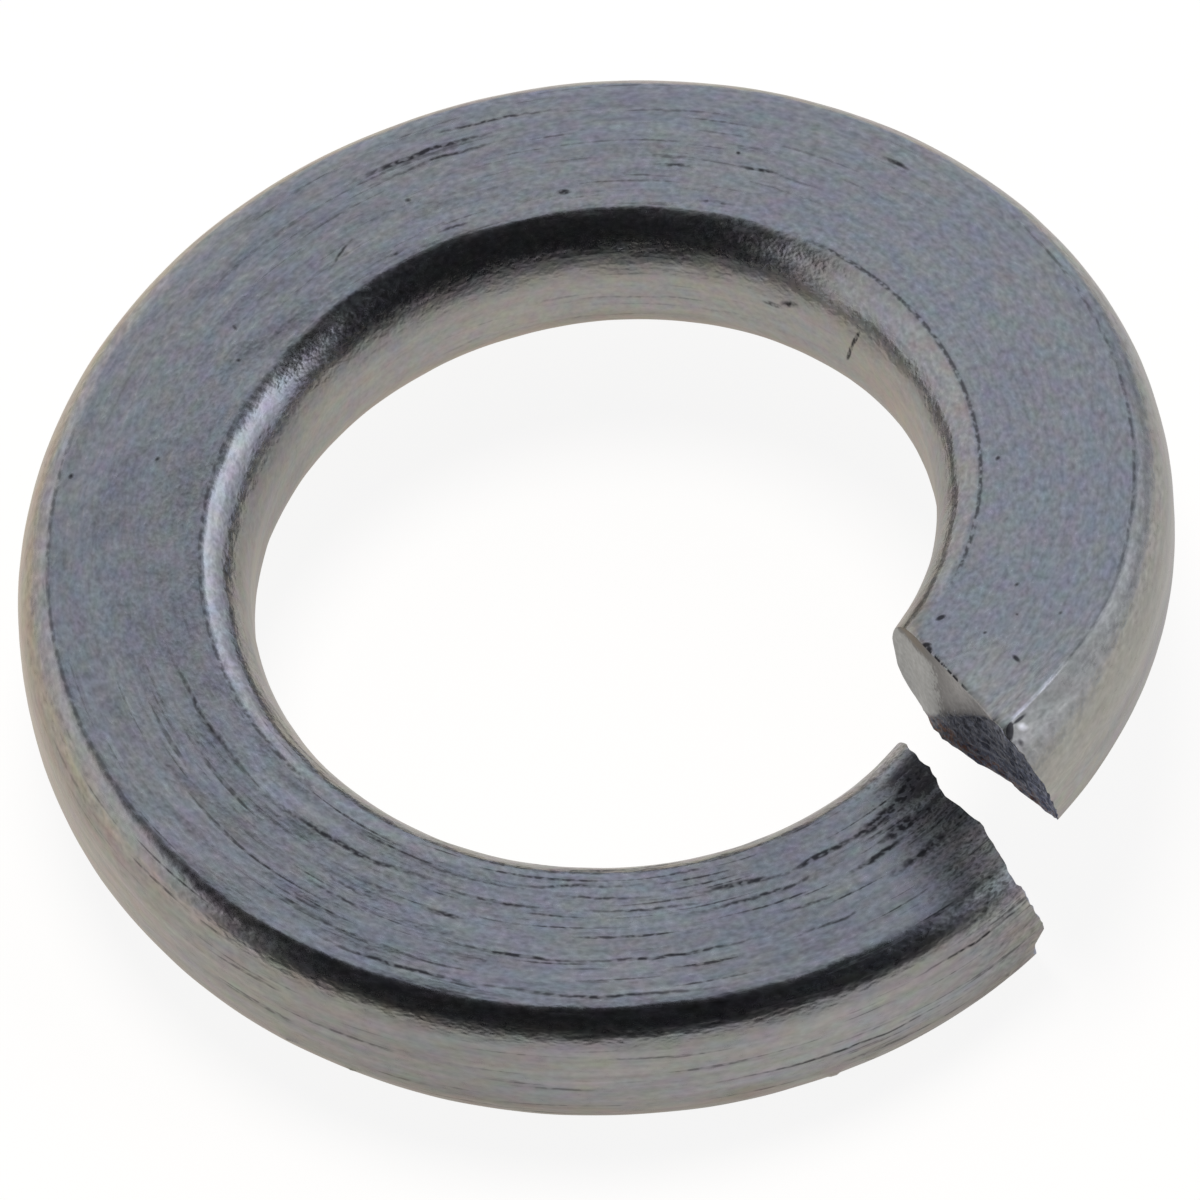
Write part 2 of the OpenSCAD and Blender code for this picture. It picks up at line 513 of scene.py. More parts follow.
# Share of a direction that a panel fills: it is lit where the elevation's tangent is under its
# top's height times the cosine of the angle to its facing, and past its near edge. Also how far
# up the panel the direction is
def panelShare(tree, s, azimuth, slope, side):
    edge, soft = s[side + "Edge"], s["edgeSoft"]
    swing = calc(tree, "RADIANS", calc(tree, "SUBTRACT", azimuth, s[side + "Facing"]))
    reach = calc(tree, "MAXIMUM", calc(tree, "COSINE", swing), s["leastReach"])
    level = calc(tree, "DIVIDE", slope, times(tree, reach, s[side + "Top"]))
    under = smoothStep(tree, level, (1 + s["topSoft"], 1 - s["topSoft"]))
    outwards = times(tree, azimuth, math.copysign(1, edge))
    inside = smoothStep(tree, outwards, (abs(edge) - soft, abs(edge) + soft))
    return times(tree, under, inside), level


# Studio's surroundings: azimuth is the arctangent of the direction's two level parts and
# elevation the arcsine of its height
def lightStudio(s, view):
    world = bpy.data.worlds.new("studio")
    bpy.context.scene.world = world
    world.use_nodes = True
    tree = world.node_tree
    tree.nodes.clear()
    way = addNode(tree, "ShaderNodeTexCoord").outputs["Generated"]
    turned = addNode(tree, "ShaderNodeVectorRotate", way, rotation_type="Z_AXIS")
    turned.inputs["Angle"].default_value = -math.radians(view["azimuth"])
    ahead, aside, up = addNode(tree, "ShaderNodeSeparateXYZ", turned.outputs[0]).outputs
    azimuth = calc(tree, "DEGREES", calc(tree, "ARCTAN2", aside, ahead))
    elevation = calc(tree, "DEGREES", calc(tree, "ARCSINE", up))
    steep = calc(tree, "MINIMUM", elevation, s["steepest"])
    slope = calc(tree, "TANGENT", calc(tree, "RADIANS", steep))

    rightShare, rightLevel = panelShare(tree, s, azimuth, slope, "right")
    leftShare = panelShare(tree, s, azimuth, slope, "left")[0]
    wrapped = calc(tree, "WRAP", azimuth, fullTurn, 0)
    soft, backTop = s["edgeSoft"] / 2, s["backTop"]
    backShare = times(tree, smoothStep(tree, wrapped, (s["backFrom"] - soft, s["backFrom"] + soft)),
                      smoothStep(tree, wrapped, (s["backTo"] + soft, s["backTo"] - soft)))
    underBack = smoothStep(tree, elevation, (backTop + s["backSoft"], backTop - s["backSoft"]))
    strength = smoothStep(tree, rightLevel, (0, 1), s["rightLow"], s["rightHigh"])
    rightLight = blendColour(tree, 1.0, s["rightPanel"], strength, "MULTIPLY")
    light = blendColour(tree, rightShare, s["darkness"], rightLight)
    light = blendColour(tree, leftShare, light, s["leftPanel"])
    light = blendColour(tree, times(tree, backShare, underBack), light, s["backPanel"])
    unlitBack = times(tree, backShare, calc(tree, "SUBTRACT", 1, underBack))
    light = blendColour(tree, unlitBack, light, s["darkness"])
    room = addNode(tree, "ShaderNodeBackground", light)
    white = addNode(tree, "ShaderNodeBackground", (1, 1, 1, 1))
    seen = addNode(tree, "ShaderNodeLightPath").outputs["Is Camera Ray"]
    mixed = addNode(tree, "ShaderNodeMixShader", seen, room.outputs[0], white.outputs[0])
    addNode(tree, "ShaderNodeOutputWorld", mixed.outputs[0])


lightStudio(studio, cameraView)

# Lamp over the floor: it lights the paper and makes the washer's shadow, and the metal
# doesn't mirror it
lamp = {"size": 160, "height": 320, "watts": 1.0, "aside": (-60, 50)}


def hangLamp(values):
    data = bpy.data.lights.new("floorLamp", "AREA")
    data.shape = "DISK"
    data.size = values["size"] * mm
    data.energy = values["watts"]
    piece = bpy.data.objects.new("floorLamp", data)
    bpy.context.collection.objects.link(piece)
    place = Vector((*values["aside"], values["height"])) * mm
    piece.location = place
    piece.rotation_mode = "QUATERNION"
    piece.rotation_quaternion = place.to_track_quat("Z", "Y")
    piece.visible_glossy = False
    piece.visible_camera = False


hangLamp(lamp)
print("studio lit")

# Floor: a sheet of pale, slightly warm paper
floorPaper = {
    "size": 1600,
    "paper": (0.92, 0.852, 0.765),
    "paperShaded": (0.665, 0.65, 0.64),  # painted shade: the darker mirrored colour on one side of it
    "dimSpan": (-13, 15),  # where that starts and is full, in millimetres along the dim heading
    "dimHeading": 55,  # degrees from the camera's side
    "whiteness": 0.90,  # how much of the camera's view of it is plain white
    "evenness": 0.80,  # how much of its mirrored view is the paper's own colour, glowing evenly apart from its painted shade
}


def makeFloor(values, view):
    reach = values["size"] * mm / 2
    corners = [(-reach, -reach, 0), (reach, -reach, 0), (reach, reach, 0), (-reach, reach, 0)]
    mesh = bpy.data.meshes.new("floor")
    mesh.from_pydata(corners, [], [(0, 1, 2, 3)])
    floor = bpy.data.objects.new("floor", mesh)
    bpy.context.collection.objects.link(floor)
    material = bpy.data.materials.new("paper")
    material.use_nodes = True
    tree = material.node_tree
    tree.nodes.clear()
    paper = addNode(tree, "ShaderNodeBsdfDiffuse", (*values["paper"], 1))
    path = addNode(tree, "ShaderNodeLightPath").outputs
    place = addNode(tree, "ShaderNodeTexCoord").outputs["Object"]
    # Painted shade: the mirrored colour darkens along a heading, as if less light fell on that side
    heading = math.radians(view["azimuth"] + values["dimHeading"])
    way = (math.cos(heading) / mm, math.sin(heading) / mm, 0)
    reached = addNode(tree, "ShaderNodeVectorMath", place, way, operation="DOT_PRODUCT")
    dim = smoothStep(tree, reached.outputs["Value"], values["dimSpan"])
    mirrorColour = blendColour(tree, dim, values["paper"], values["paperShaded"])
    glow = blendColour(tree, path["Is Camera Ray"], mirrorColour, (1, 1, 1))
    white = addNode(tree, "ShaderNodeEmission", glow)
    mirrored = calc(tree, "MAXIMUM", path["Is Glossy Ray"], path["Is Transmission Ray"])
    share = times(tree, mirrored, values["evenness"])
    share = calc(tree, "MULTIPLY_ADD", path["Is Camera Ray"], values["whiteness"], share)
    mixed = addNode(tree, "ShaderNodeMixShader", share, paper.outputs[0], white.outputs[0])
    addNode(tree, "ShaderNodeOutputMaterial", mixed.outputs[0])
    mesh.materials.append(material)


makeFloor(floorPaper, cameraView)

# Marks on the drawn wire. A scratch on the top face runs from one turn to another, in degrees, and
# from one radius to another, and then come its half width and its darkness
marks = {
    "scratches": [
        (230, 258, 8.25, 8.12, 0.035, 0.5), (258, 285, 8.18, 7.99, 0.045, 0.7),
        (286, 301, 8.07, 8.07, 0.03, 0.6), (304, 322, 8.14, 8.17, 0.03, 0.5),
        (301, 314, 7.82, 7.85, 0.03, 0.5), (294, 313, 7.62, 7.53, 0.03, 0.5),
        (275, 281, 8.53, 8.53, 0.03, 0.4), (285, 290.5, 8.63, 8.63, 0.04, 0.8),
        (272, 281, 8.8, 8.8, 0.03, 0.4), (269, 281, 9.12, 9.07, 0.03, 0.5),
        (290, 305, 9.19, 9.28, 0.03, 0.8), (305, 325, 9.27, 9.26, 0.03, 0.7),
        (276, 295, 10.02, 10.01, 0.035, 0.7), (295, 320, 10.01, 10.12, 0.035, 0.6),
        (321, 333, 7.9, 8.02, 0.05, 0.8), (333, 345, 8.05, 8, 0.05, 0.9),
        (344, 352, 8.03, 7.97, 0.09, 1), (351, 360, 7.95, 7.65, 0.12, 1),
        (318, 340, 8.37, 8.33, 0.035, 0.6), (346, 356, 8.43, 8.45, 0.09, 1),
        (340, 348.5, 8.66, 8.62, 0.05, 0.9), (330, 337, 8.87, 8.93, 0.03, 0.5),
        (343, 355, 9.15, 9.12, 0.07, 0.6), (330, 339, 9.48, 9.48, 0.03, 0.5),
        (88.3, 91.8, 9.84, 9.84, 0.04, 0.7), (101.5, 107.5, 8.63, 8.63, 0.035, 0.7),
        (105.7, 111, 7.64, 7.64, 0.03, 0.5), (113, 118, 8.42, 8.42, 0.035, 0.5),
        (129.4, 131.4, 7.88, 7.88, 0.05, 0.9), (131, 145, 9.95, 9.97, 0.03, 0.6),
        (138, 155, 9.64, 9.64, 0.045, 0.8), (136, 152.5, 9.38, 9.38, 0.03, 0.5),
        (159.4, 164.4, 8.44, 8.17, 0.03, 0.5), (144.5, 149, 7.67, 7.67, 0.03, 0.5),
        (154.8, 157, 7.69, 7.69, 0.03, 0.5),
    ],
    # pits in the top face: turn, radius, half length along the wire, half width and darkness
    "pits": [
        (108, 8.93, 0.04, 0.035, 0.6), (150.5, 8.69, 0.05, 0.04, 0.45), (183.3, 8.07, 0.04, 0.04, 0.5),
        (179.3, 8.58, 0.03, 0.06, 0.4), (201.4, 8.57, 0.05, 0.035, 0.5), (205.5, 10.1, 0.05, 0.04, 0.6),
        (17, 8.58, 0.05, 0.035, 0.5), (6.4, 9.32, 0.04, 0.09, 0.8), (7.8, 7.6, 0.1, 0.045, 0.9),
        (38.7, 7.76, 0.06, 0.04, 0.6), (8.2, 8.5, 0.04, 0.03, 0.5), (12.5, 8.85, 0.03, 0.03, 0.4),
        (14.5, 9.6, 0.04, 0.03, 0.4),
    ],
    # pits in the raised end's outer corner and along its cut, with the angle of their length, in
    # radians, after the darkness
    "cornerPits": [
        (-2.3, 10.45, 0.13, 0.05, 1.7, -0.65), (-2.3, 10.65, 0.05, 0.04, 0.9, 0),
        (-0.6, 10.43, 0.12, 0.025, 0.9, 0.1), (2.6, 7.7, 0.09, 0.05, 0.8, 0.9),
        (2.1, 7.8, 0.07, 0.05, 0.9, 0), (0.9, 8.2, 0.05, 0.03, 0.7, 0),
    ],
    # painted glint on the lip of those pits, in the same way
    "glint": (-0.9, 10.54, 0.075, 0.05, 0.6, 0.5),
    # wall marks: turns and heights from and to, radius, half width and darkness
    "wallMarks": [
        (76.4, 77.7, 0.9, 0.42, 6.6, 0.05, 1), (77.4, 78.4, 0.42, 0.3, 6.6, 0.05, 0.8),
        (77.8, 79.2, 0.36, -0.1, 6.6, 0.05, 1), (90, 93.5, 0.62, 0.5, 6.6, 0.07, 0.6),
        (93, 97, 0.42, 0.36, 6.6, 0.06, 0.6), (340, 355, 0.82, 0.86, 10.93, 0.028, 0.65),
        (318, 345, -0.2, -0.3, 11, 0.03, 0.6),
    ],
    # dotted lines where a rounding meets the flat face: radius, half width, turns from and to, darkness
    "edgeLines": [
        (7.43, 0.04, 10, 97, 0.75), (7.43, 0.035, 186, 266, 0.6), (10.31, 0.03, 18, 78, 0.5),
        (10.32, 0.035, 196, 262, 0.45),
    ],
    "lineSoft": (1.6, 0.3),  # a line's darkness begins and is full at these shares of its half width,
    "lineEnds": 1.5,  # and fades over this length at its ends
    "lineDots": (0.62, 0.42),  # speckle between which a line is broken, and what is left of it there
    "lineLeast": 0.15,
    # dotted line along the raised cut's top edge: radii from and to, the fading at its ends, and the
    # gap from the cut at which it begins and is full
    "cutLine": (7.62, 8.95),
    "cutLineEnds": (0.05, 0.2),
    "cutLineSpan": (0.065, 0.026),
    "cutLineDots": (0.56, 0.48),
    "lineHeights": (1.2, 1.4),  # both kinds of line are on the top only
    "grooveHeight": 0.3,  # a mark reaches this far above and below the surface
    "edge": 2.2,  # how steeply a mark's darkness rises from its edge
    "longer": 0.6,  # half of a mark's length, with the faint part beyond its ends
    "scratchWider": 1.7,  # a mark's whole width over the width at half its darkness
    "pitWider": 1.5,
    "pitSwing": 0.4,
    "sway": 0.26,  # how far the long marks wander across the wire, and the noise that moves them
    "swayNoise": ((0.8, 0.4, 0.4), 3.0, 0.5),
}


# Group of nodes: named inputs and outputs, and the tree between them
def makeGroup(name, inputs, outputs):
    group = bpy.data.node_groups.new(name, "ShaderNodeTree")
    for title, kind in inputs:
        group.interface.new_socket(title, in_out="INPUT", socket_type=kind)
    for title, kind in outputs:
        group.interface.new_socket(title, in_out="OUTPUT", socket_type=kind)
    return group, addNode(group, "NodeGroupInput"), addNode(group, "NodeGroupOutput")


def useGroup(tree, group, **values):
    node = addNode(tree, "ShaderNodeGroup", node_tree=group)
    for key, value in values.items():
        plug(tree, value, node.inputs[key])
    return node.outputs


# Noise in the straightened wire, with a pace in cycles per millimetre along, across and up
def wireNoise(tree, place, pace, detail, roughness, output="Fac"):
    paced = vectorCalc(tree, "MULTIPLY", place, pace)
    noise = addNode(tree, "ShaderNodeTexNoise", paced, noise_dimensions="3D")
    for key, value in (("Scale", 1.0), ("Detail", detail), ("Roughness", roughness)):
        noise.inputs[key].default_value = value
    return noise.outputs[output]


# Drawn grain, stretched along the wire: the pace of each noise, its detail and its roughness
drawnGrain = {
    "speckle": ((6, 9.5, 9.5), 1.5, 0.55),
    "streak": ((0.24, 5, 5), 2.5, 0.6),
    "hair": ((0.42, 10, 10), 1.0, 0.5),
    "hairSpan": (0.382, 0.282),  # noise at which a hairline begins and is full
    "cloud": ((0.5, 1.0, 1.0), 2.0, 0.5),
    "tint": ((2.2, 3.2, 3.2), 1.5, 0.5),
}


def drawnGrainGroup(g):
    group, given, result = makeGroup("drawnGrain", [("Place", "NodeSocketVector")], [
        ("Speckle", "NodeSocketFloat"), ("Streak", "NodeSocketFloat"), ("Hairline", "NodeSocketFloat"),
        ("Cloud", "NodeSocketFloat"), ("Tint", "NodeSocketColor")])
    place = given.outputs["Place"]
    hair = wireNoise(group, place, *g["hair"])
    for title, value in (("Speckle", wireNoise(group, place, *g["speckle"])),
                         ("Streak", wireNoise(group, place, *g["streak"])),
                         ("Hairline", smoothStep(group, hair, g["hairSpan"])),
                         ("Cloud", wireNoise(group, place, *g["cloud"])),
                         ("Tint", wireNoise(group, place, *g["tint"], "Color"))):
        group.links.new(value, result.inputs[title])
    return group


# Long mark on the top face: centre, turn about the axes, half sizes and darkness of its lens
def scratchLens(m, turnFrom, turnTo, radiusFrom, radiusTo, halfWidth, strength):
    length = math.radians(turnTo - turnFrom) * midR
    across = radiusTo - radiusFrom
    centre = (math.radians(turnFrom + turnTo) / 2 * midR, (radiusFrom + radiusTo) / 2 - midR, halfT)
    half = (math.hypot(length, across) * m["longer"], halfWidth * m["scratchWider"], m["grooveHeight"])
    return centre, (0, 0, math.atan2(across, length)), half, strength


def wallLens(m, turnFrom, turnTo, heightFrom, heightTo, radius, halfWidth, strength):
    length = math.radians(turnTo - turnFrom) * midR
    climb = heightTo - heightFrom
    centre = (math.radians(turnFrom + turnTo) / 2 * midR, radius - midR, (heightFrom + heightTo) / 2)
    half = (math.hypot(length, climb) * m["longer"], m["grooveHeight"], halfWidth * m["pitWider"])
    return centre, (0, -math.atan2(climb, length), 0), half, strength


def pitLens(m, turn, radius, halfLength, halfWidth, strength, swing=None):
    centre = (math.radians(turn) * midR, radius - midR, halfT)
    half = (halfLength * m["pitWider"], halfWidth * m["pitWider"], m["grooveHeight"])
    return centre, (0, 0, m["pitSwing"] if swing is None else swing), half, strength


# Total darkness of marks: each one's falls evenly from the middle of a long thin lens, laid in
# the straightened wire, to nothing at the lens's edge
def addLenses(tree, place, lenses, edge):
    total = 0.0
    for centre, turned, half, strength in lenses:
        lens = addNode(tree, "ShaderNodeTexGradient", place, gradient_type="SPHERICAL")
        lens.texture_mapping.vector_type = "TEXTURE"
        lens.texture_mapping.translation = centre
        lens.texture_mapping.rotation = turned
        lens.texture_mapping.scale = half
        total = calc(tree, "MULTIPLY_ADD", lens.outputs["Fac"], edge * strength, total)
    return total


# Marks: the scratches and wall marks, wandering a little across the wire, and the pits
def marksGroup(m):
    group, given, result = makeGroup("wireMarks", [("Place", "NodeSocketVector")], [
        ("Scratches", "NodeSocketFloat"), ("Pits", "NodeSocketFloat")])
    place = given.outputs["Place"]
    sway = m["sway"]
    centred = vectorCalc(group, "ADD", place, (0, -sway / 2, -sway / 2))
    noise = wireNoise(group, place, *m["swayNoise"], "Color")
    swayed = vectorCalc(group, "MULTIPLY_ADD", noise, (0, sway, sway), centred)
    long = [scratchLens(m, *row) for row in m["scratches"]] + [wallLens(m, *row) for row in m["wallMarks"]]
    short = [pitLens(m, *row) for row in m["pits"] + m["cornerPits"]]
    for title, where, lenses in (("Scratches", swayed, long), ("Pits", place, short)):
        total = addLenses(group, where, lenses, m["edge"])
        group.links.new(calc(group, "MINIMUM", total, 1.0), result.inputs[title])
    return group


# Colour brightened or darkened by a factor
def scaleColour(tree, colour, factor):
    return vectorCalc(tree, "SCALE", colour, None, None, factor)


# Factor about 1: the sum of each value's distance from a half times its depth
def aboutOne(tree, *terms):
    total = 1.0
    for value, depth in terms:
        total = calc(tree, "MULTIPLY_ADD", calc(tree, "SUBTRACT", value, 0.5), depth, total)
    return total


# Share of a zone of the wire: the product of smooth steps of its places, each over a span
def zoneShare(tree, at, *spans):
    return times(tree, *(smoothStep(tree, at[name], (begin, full)) for name, begin, full in spans))


# Material that knows each point's place in the straightened wire: along, across and up
def startMaterial(name):
    material = bpy.data.materials.new(name)
    material.use_nodes = True
    tree = material.node_tree
    place = readAttribute(tree, "straightPlace", "Vector")
    parts = addNode(tree, "ShaderNodeSeparateXYZ", place).outputs
    at = dict(zip(("along", "across", "height"), parts), place=place)
    return material, tree, tree.nodes["Principled BSDF"], at


def addBump(tree, shader, height, distance):
    bump = addNode(tree, "ShaderNodeBump")
    bump.inputs["Distance"].default_value = distance
    bump.inputs["Strength"].default_value = 1.0
    tree.links.new(height, bump.inputs["Height"])
    tree.links.new(bump.outputs["Normal"], shader.inputs["Normal"])


# Dotted lines where the roundings meet the flat face, each over its own turns of the wire
def edgeLines(tree, m, at, speckle):
    total = 0.0
    wide, narrow = m["lineSoft"]
    for radius, halfWidth, turnFrom, turnTo, strength in m["edgeLines"]:
        aside = calc(tree, "ABSOLUTE", calc(tree, "SUBTRACT", at["across"], radius - midR))
        line = smoothStep(tree, aside, (halfWidth * wide, halfWidth * narrow), 0, strength)
        begin, finish = (math.radians(turn) * midR for turn in (turnFrom, turnTo))
        ends = zoneShare(tree, at, ("along", begin, begin + m["lineEnds"]),
                         ("along", finish, finish - m["lineEnds"]))
        total = calc(tree, "MAXIMUM", total, times(tree, line, ends))
    dots = smoothStep(tree, speckle, m["lineDots"], m["lineLeast"])
    return times(tree, total, dots, smoothStep(tree, at["height"], m["lineHeights"]))


# Dotted line along the raised cut's top edge
def cutLine(tree, m, at, speckle):
    begin, finish = (radius - midR for radius in m["cutLine"])
    beginSoft, finishSoft = m["cutLineEnds"]
    line = zoneShare(tree, at, ("raisedGap", *m["cutLineSpan"]), ("height", *m["lineHeights"]),
                     ("across", begin - beginSoft, begin + beginSoft),
                     ("across", finish + finishSoft, finish - finishSoft))
    return times(tree, line, smoothStep(tree, speckle, m["cutLineDots"]))


# Finish of the plated wire. Colours are the metal's own and lengths are in millimetres. A span is
# the pair of values at which something begins and is full. A zone is a list of spans, each with the
# place that it is measured in: along the wire from the raised cut, across it from the middle
# radius, height from the middle of its thickness, and the gap to either cut. A noise has its pace
# along, across and up, its detail and its roughness
plating = {
    "colours": {
        "zinc": (0.345, 0.355, 0.372),
        "zincWarm": (0.352, 0.352, 0.350),
        "soot": (0.030, 0.029, 0.034),
        "stain": (0.235, 0.195, 0.150),
        "wallFloorReflection": (0.34, 0.29, 0.23),  # warm and paler, painted reflection of the floor on the walls
        "shoulder": (0.43, 0.425, 0.40),
        # the raised end's outer corner, painted paler as reflected light, and the painted highlight along its
        # bend
        "paleCornerLight": (0.435, 0.435, 0.405),
        "paintedHighlight": (0.66, 0.66, 0.66),
        "warmSpan": (0.35, 0.65),  # clouds at which the zinc turns warmer
        "sootCover": 0.88,  # how much of the metal the darkest marks hide
    },
    "topZone": [("height", 1.1, 1.4)],
    "outerHalf": [("across", -0.8, 0.3)],
    # hairlines crowd towards the low cut, and less so round a place further back along the wire
    "hairlines": {
        "fewest": 0.1,
        "near": 0.95, "nearZone": [("along", 33, 42)],
        "far": 0.4, "farMiddle": 20, "farReach": (8, 3),
        "onWalls": 0.65, "wallSpan": (0.9, 1.3),
        "brokenSpan": (0.62, 0.42), "brokenLeast": 0.4,  # speckle that breaks them up, and what it leaves
        "darkness": 0.8,
    },
    # beside the low cut, a dull film, with soot in streaks and specks on the inner half of the top
    "film": {
        "reach": (3.0, 1.1), "cloudSway": 1.2,
        "top": 0.24, "walls": 0.04, "wallSpan": (1.0, 1.4),  # how far it darkens the metal
        "wornSpan": (0.24, 0.06), "wornLeast": 0.1,  # it is worn off at the cut's edge,
        "cornerSpan": (-1.6, -1.1), "cornerLight": -0.6,  # and the corner at the bore is bright
        "matt": 0.12,
        "gritNoise": ((9, 16, 16), 2.0, 0.6),
        "grit": 2.4, "gritWalls": 0.72, "gritSpan": (0.6, 1.3),
    },
    "sootCrumbs": {
        "innerZone": [("across", 0.6, -0.5)],
        "closeSpan": (1.5, 0.1),
        "weights": {"streak": 0.9, "speckle": 0.7, "grit": 0.6, "close": 0.22, "inner": 0.13},
        "span": (1.3, 1.44),
        "speckSpan": (0.57, 0.66), "specks": 0.8,
        "clearZone": [("across", -1.7, -1.2)],
        "darkness": 0.82,
    },
    # loose dirt beside the low cut, on the outer half of the top, which hides the metal's shine
    "dirt": {"zone": [("lowGap", 1.0, 0.15), ("across", 0.2, 1.0)], "share": 0.34},
    "shoulder": {"span": (2.2, 0.9), "cloudSway": 0.9, "roughness": 0.32},  # matt metal beside the raised cut
    # brown bloom on the inner edge beside the raised cut
    "bloom": {"span": (-0.85, -1.1), "cloudSway": 0.5, "taper": 0.3, "zone": [("raisedGap", 2.4, 0.9)],
              "share": 0.38},
    # paler, painted reflection of the warm floor: at the foot of every wall, then on the outer wall's left,
    # on the bore's wall at the right and on the wall beside the low cut, each with its strength
    "footSpan": (0.1, -0.7), "footReflectionShare": 0.75,
    "wallFloorReflections": [(0.7, [("across", 1.6, 1.95), ("along", 20, 24), ("along", 42, 33)]),
                   (0.55, [("across", -2.0, -2.15), ("along", 13.5, 9.5), ("height", 0.9, 0.2)]),
                   (0.4, [("across", 1.9, 2.15), ("lowGap", 1.4, 0.2), ("height", 1.0, 0.5)])],
    # how deep each kind of grain is in the metal's tone
    "speckle": 1.0, "speckleWalls": 0.45, "wallSpan": (0.9, 1.3),
    "streak": 0.55, "streakLeast": 0.35, "streakCrowd": 0.7,
    "streakFade": (0.5, 4.0), "streakAtCut": 0.3,
    "cloud": 0.18,
    "tint": 0.30,  # faint pink, green and blue patches
    # lighter or darker stretches: side of the wire, from and to along it, and factor
    "sides": {"top": [("height", 1.4, 1.57)], "outer": [("across", 1.9, 2.15)],
              "bore": [("across", -1.9, -2.15)]},
    "stretchSoft": 1.5,
    "stretches": [("top", 27, 40, 1.09), ("top", 49, 53.5, 0.87), ("outer", 41, 46, 0.82),
                  ("outer", 35, 41, 0.87), ("outer", 49, 52.3, 1.08), ("outer", 1.8, 6, 0.92),
                  ("outer", -4, 0, 0.86), ("outer", 54.6, 57, 1.24), ("bore", 28, 38, 0.86),
                  ("bore", 7, 11, 1.12)],
    # the outer rounding is darker towards the low cut
    "dull": {"share": 0.34, "zone": [("across", 1.45, 1.6), ("height", 1.05, 1.35), ("lowGap", 5.0, 2.0),
                                     ("lowGap", 0.5, 1.8)]},
    # the raised end's outer corner is painted paler, as reflected light, with a painted highlight stroke
    # where it bends and painted shade in a band beside it
    "corner": {
        "paleCornerZone": [("across", 1.4, 1.7), ("height", -0.2, 0.4), ("raisedGap", 8.0, 2.0)],
        "paleSpan": (-0.6, 0.8), "pale": 1.14,
        "strokeAcross": 1.54, "strokeSpan": (0.075, 0.02),
        "strokeZone": [("raisedGap", 1.8, 1.0), ("raisedGap", 0.15, 0.3)],
        "bandZone": [("across", 1.49, 1.56), ("across", 1.95, 1.72)],
        "shades": [(0.3, (10.5, 7.0)), (0.22, (3.0, 1.6))],  # depth of shade, and its span from the cut
        "shadeAtCut": 0.7, "cutSpan": (0.0, 1.2),
        "tintCover": 0.7,
    },
    "roughness": 0.185,
    "roughSpeckle": 0.12,
    "roughMarks": 0.25,
    # the bore's side and the outer rounding are rougher by these amounts
    "roughZones": [(0.1, [("across", -1.3, -1.6), ("height", 1.5, 0.5)]),
                   (0.05, [("across", 1.5, 1.7), ("height", 1.56, 1.3)])],
    # relief: what each kind of grain adds, and how much stronger the speckle is off the flat
    "reliefSpeckle": 0.35, "reliefStreak": 0.45,
    "reliefOffFlat": 2.3, "flatSpan": (1.57, 1.48),
    "bump": 0.000012,
}


# Dark hairlines, broken up by the speckle, fainter on the walls. Also how much they crowd, and
# the breaking up, which the scratches share
def drawHairlines(tree, h, at, grain):
    crowd = calc(tree, "MULTIPLY_ADD", zoneShare(tree, at, *h["nearZone"]), h["near"], h["fewest"])
    fromFar = calc(tree, "ABSOLUTE", calc(tree, "SUBTRACT", at["along"], h["farMiddle"]))
    crowd = calc(tree, "MULTIPLY_ADD", smoothStep(tree, fromFar, h["farReach"]), h["far"], crowd)
    broken = smoothStep(tree, grain["Speckle"], h["brokenSpan"], h["brokenLeast"])
    onWalls = smoothStep(tree, at["height"], h["wallSpan"], h["onWalls"])
    return times(tree, grain["Hairline"], broken, crowd, onWalls), crowd, broken


# Soot: crumbs of it where the sum of the noises, raised towards the cut and the bore, is high
def scatterSoot(tree, s, at, grain, grit, film):
    inner = zoneShare(tree, at, *s["innerZone"])
    close = times(tree, smoothStep(tree, at["lowGap"], s["closeSpan"]), inner)
    parts = {"streak": grain["Streak"], "speckle": grain["Speckle"], "grit": grit, "close": close,
             "inner": inner}
    crumbs = 0.0
    for name, weight in s["weights"].items():
        crumbs = calc(tree, "MULTIPLY_ADD", parts[name], weight, crumbs)
    specks = smoothStep(tree, grain["Speckle"], s["speckSpan"], 0, s["specks"])
    soot = calc(tree, "MAXIMUM", smoothStep(tree, crumbs, s["span"]), specks)
    return times(tree, soot, film, zoneShare(tree, at, *s["clearZone"]))


# Everything darker than the metal: hairlines, scratches, pits, dotted lines and soot
def darkMarks(tree, p, m, at, grain, marked, hairs, broken, soot):
    dark = times(tree, hairs, p["hairlines"]["darkness"])
    for mark in (times(tree, marked["Scratches"], broken), marked["Pits"],
                 edgeLines(tree, m, at, grain["Speckle"]), cutLine(tree, m, at, grain["Speckle"]),
                 times(tree, soot, p["sootCrumbs"]["darkness"])):
        dark = calc(tree, "MAXIMUM", dark, mark)
    return dark


# Colour of the clean metal, with its shoulder, the bloom on its inner edge and the painted reflection of the
# warm floor on the walls
def metalColour(tree, p, at, cloud, shoulder):
    colours = p["colours"]
    warm = smoothStep(tree, cloud, colours["warmSpan"])
    zinc = blendColour(tree, warm, colours["zinc"], colours["zincWarm"])
    zinc = blendColour(tree, shoulder, zinc, colours["shoulder"])
    b = p["bloom"]
    border = calc(tree, "MULTIPLY_ADD", cloud, b["cloudSway"], at["across"])
    border = calc(tree, "MULTIPLY_ADD", at["raisedGap"], b["taper"], border)
    bloom = times(tree, smoothStep(tree, border, b["span"]), zoneShare(tree, at, *b["zone"]), b["share"])
    zinc = blendColour(tree, bloom, zinc, colours["stain"])
    # Painted reflection of the warm floor: low on every wall, mottled by the cloud, and in the listed wall
    # zones
    floorReflected = smoothStep(tree, calc(tree, "ADD", cloud, at["height"]), p["footSpan"], 0, p["footReflectionShare"])
    for strength, zone in p["wallFloorReflections"]:
        floorReflected = calc(tree, "MAXIMUM", floorReflected, times(tree, zoneShare(tree, at, *zone), strength))
    return blendColour(tree, floorReflected, zinc, colours["wallFloorReflection"])
